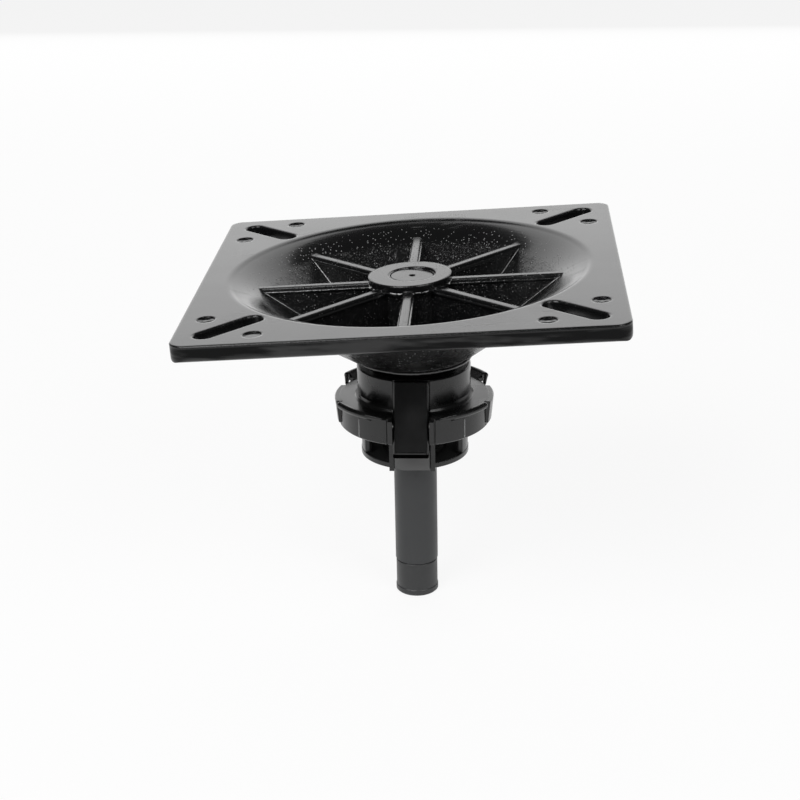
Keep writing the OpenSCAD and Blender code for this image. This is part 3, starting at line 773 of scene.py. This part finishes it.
class SEATBASE_OT_lever(bpy.types.Operator):
    """Shapes the release lever with its bevels, cross ridge and set-back foot"""

    bl_idname = "seatbase.lever"
    bl_label = "Shape the release lever"

    def execute(self, context):
        lever = block("release_lever_shell", *LEVER_BLOCK)
        cut_plane(LEVER_TOP, LEVER_LEAN)
        for side in (1, -1):
            cut_plane((side * LEVER_FACE, *LEVER_TOP[1:]), Vector((side, 0.0, 0.0)) + LEVER_LEAN)
        close_mesh(smooth_degrees=30)

        bpy.ops.mesh.primitive_cylinder_add(
            vertices=16, radius=RIDGE_RADIUS * MM, depth=2 * (LEVER_FACE - RIDGE_RADIUS) * MM,
            location=Vector(RIDGE_PLACE) * MM, rotation=(0.0, math.radians(90), 0.0))
        ridge = start_mesh("lever_ridge")
        close_mesh(smooth_degrees=40)

        foot = block("lever_foot", *LEVER_FOOT)
        for place, normal in FOOT_CUTS:
            cut_plane(place, normal)
        close_mesh(smooth_degrees=30)

        bpy.ops.object.select_all(action="DESELECT")
        lever.select_set(True)
        context.view_layer.objects.active = lever
        for part in (foot, ridge):
            apply_modifier(lever, "BOOLEAN", part.name, operation="UNION", object=part,
                           solver="EXACT")
            bpy.data.objects.remove(part)
        apply_modifier(lever, "BEVEL", "edges", width=LEVER_BEVEL, segments=2,
                       limit_method="ANGLE", angle_limit=math.radians(25))
        bpy.ops.object.shade_smooth_by_angle(angle=math.radians(35))
        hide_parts("release_lever")
        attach(lever, "lever")
        finish = lever_finish(context.scene.seat_base_finishes.lever)
        dress(finish, "release_lever")
        coat(lever, finish)
        bpy.ops.object.select_all(action="DESELECT")
        return {"FINISHED"}


class SEATBASE_OT_casting(bpy.types.Operator):
    """Paints the casting"""

    bl_idname = "seatbase.casting"
    bl_label = "Paint the casting"

    def execute(self, context):
        dress(casting_paint(context.scene.seat_base_finishes), "seat_plate")
        return {"FINISHED"}


class SEATBASE_OT_king_pin(bpy.types.Operator):
    """Plates the king pin and finishes its end bush"""

    bl_idname = "seatbase.king_pin"
    bl_label = "Finish the king pin"

    def execute(self, context):
        settings = context.scene.seat_base_finishes
        dress(pin_finish(settings), "swivel_pin")
        dress(moulded_plastic("end_bush_plastic", shade(settings.pin, 0.5), 0.4, wave=0.01),
              "pin_end_bush")
        return {"FINISHED"}


class SEATBASE_OT_collar(bpy.types.Operator):
    """Gives the collar and cage their moulded gloss and the bearings their matt plastic"""

    bl_idname = "seatbase.collar"
    bl_label = "Finish the collar"

    def execute(self, context):
        settings = context.scene.seat_base_finishes
        dress(collar_finish(settings.moulding), "collar_housing")
        dress(cage_finish(settings.moulding), "collar_cage")
        dress(moulded_plastic("bearing_plastic", grey(0.006), roughness=0.75),
              "thrust_washer", "upper_bush", "lower_bush")
        return {"FINISHED"}


class SEATBASE_OT_small_steel(bpy.types.Operator):
    """Finishes the screws, pins, tooth and spring"""

    bl_idname = "seatbase.small_steel"
    bl_label = "Finish the small steel parts"

    def execute(self, context):
        dress(turned_steel("zinc_steel", grey(0.42), roughness=0.3, metallic=1.0),
              "cage_screws", "latch_tooth", "lever_pivot_pin")
        dress(turned_steel("spring_steel", grey(0.3), roughness=0.26, metallic=1.0),
              "hub_roll_pin", "lever_spring")
        return {"FINISHED"}


def floor_material():
    """Pale floor that shows white to the camera and still takes the shadow."""
    material = bpy.data.materials.new("pale_floor")
    material.use_nodes = True
    tree = material.node_tree
    tree.nodes.clear()
    output = tree.nodes.new("ShaderNodeOutputMaterial")
    matt = add(tree, "ShaderNodeBsdfDiffuse", Color=(*grey(FLOOR_GREY), 1.0))
    glow = add(tree, "ShaderNodeEmission", Strength=1.0)
    path = add(tree, "ShaderNodeLightPath")
    seen = maths(tree, "ADD", path.outputs["Is Camera Ray"], path.outputs["Is Glossy Ray"])
    seen = maths(tree, "ADD", seen, path.outputs["Is Transmission Ray"])
    mixed = add(tree, "ShaderNodeMixShader")
    tree.links.new(times(tree, maths(tree, "MINIMUM", seen, 1.0), FLOOR_WHITE),
                   mixed.inputs["Fac"])
    tree.links.new(matt.outputs["BSDF"], mixed.inputs[1])
    tree.links.new(glow.outputs["Emission"], mixed.inputs[2])
    tree.links.new(mixed.outputs["Shader"], output.inputs["Surface"])
    return material


def studio_world(scene):
    """A dim, even world that fills the shadows."""
    world = bpy.data.worlds.new("studio")
    scene.world = world
    world.use_nodes = True
    tree = world.node_tree
    tree.nodes.clear()
    output = tree.nodes.new("ShaderNodeOutputWorld")
    background = add(tree, "ShaderNodeBackground", Color=(1.0, 1.0, 1.0, 1.0),
                     Strength=WORLD_STRENGTH)
    tree.links.new(background.outputs["Background"], output.inputs["Surface"])


def add_softbox(name, place, target, width, height, power):
    """A rectangular area lamp that faces its target."""
    aim = (Vector(target) - Vector(place)).to_track_quat("-Z", "Y")
    bpy.ops.object.light_add(type="AREA", location=place, rotation=aim.to_euler())
    lamp = bpy.context.object
    lamp.name = name
    lamp.data.shape = "RECTANGLE"
    lamp.data.size = width
    lamp.data.size_y = height
    lamp.data.energy = power
    lamp.visible_camera = False


def add_camera(scene, stage):
    """The camera at the photograph's angle, with its small roll."""
    turn, lift, roll = (math.radians(v) for v in (stage.azimuth, stage.elevation, stage.roll))
    forward = Vector((-math.sin(turn) * math.cos(lift), math.cos(turn) * math.cos(lift),
                      -math.sin(lift)))
    level = Vector((math.cos(turn), math.sin(turn), 0.0))
    rise = level.cross(forward)
    right = level * math.cos(roll) + rise * math.sin(roll)
    up = rise * math.cos(roll) - level * math.sin(roll)
    place = Vector(stage.target) - forward * stage.distance
    bpy.ops.object.camera_add()
    camera = bpy.context.object
    turned = Matrix((right, up, -forward)).transposed().to_4x4()
    camera.matrix_world = Matrix.Translation(place) @ turned
    camera.data.sensor_width = SENSOR_WIDTH
    camera.data.lens = stage.lens
    camera.data.clip_start = CLIP_START
    scene.camera = camera


class SEATBASE_OT_stage(bpy.types.Operator):
    """Lays the floor, hangs the softboxes and sets the camera"""

    bl_idname = "seatbase.stage"
    bl_label = "Set the stage"

    def execute(self, context):
        scene = context.scene
        stage = scene.seat_base_stage
        bpy.ops.mesh.primitive_plane_add(size=stage.floor_side, location=(0.0, 0.0, FLOOR_Z))
        floor = bpy.context.object
        floor.name = "floor"
        bpy.ops.object.transform_apply(location=True, rotation=True, scale=True)
        coat(floor, floor_material())
        studio_world(scene)
        for softbox in SOFTBOXES:
            add_softbox(*softbox)
        add_camera(scene, stage)
        scene.view_settings.view_transform = "Standard"
        return {"FINISHED"}


class SEATBASE_PT_panel(bpy.types.Panel):
    """The seat base's finishes and stage"""

    bl_label = "Seat Base"
    bl_idname = "SEATBASE_PT_panel"
    bl_space_type = "VIEW_3D"
    bl_region_type = "UI"
    bl_category = "Seat Base"

    def draw(self, context):
        for group in (context.scene.seat_base_finishes, context.scene.seat_base_stage):
            for name in group.bl_rna.properties.keys():
                if name not in ("rna_type", "name"):
                    self.layout.prop(group, name)
        for operator in OPERATORS:
            self.layout.operator(operator.bl_idname)


OPERATORS = (
    SEATBASE_OT_casting, SEATBASE_OT_rib_beads, SEATBASE_OT_king_pin, SEATBASE_OT_collar,
    SEATBASE_OT_lever, SEATBASE_OT_small_steel, SEATBASE_OT_stage,
)
CLASSES = (SeatBaseFinishes, SeatBaseStage, *OPERATORS, SEATBASE_PT_panel)


def register():
    for item in CLASSES:
        bpy.utils.register_class(item)
    bpy.types.Scene.seat_base_finishes = bpy.props.PointerProperty(type=SeatBaseFinishes)
    bpy.types.Scene.seat_base_stage = bpy.props.PointerProperty(type=SeatBaseStage)


def unregister():
    del bpy.types.Scene.seat_base_stage
    del bpy.types.Scene.seat_base_finishes
    for item in reversed(CLASSES):
        bpy.utils.unregister_class(item)


def main():
    register()
    bpy.ops.object.select_all(action="DESELECT")
    bpy.ops.seatbase.casting()
    bpy.ops.seatbase.rib_beads()
    bpy.ops.seatbase.king_pin()
    bpy.ops.seatbase.collar()
    bpy.ops.seatbase.lever()
    bpy.ops.seatbase.small_steel()
    bpy.ops.seatbase.stage()


if __name__ == "__main__":
    main()
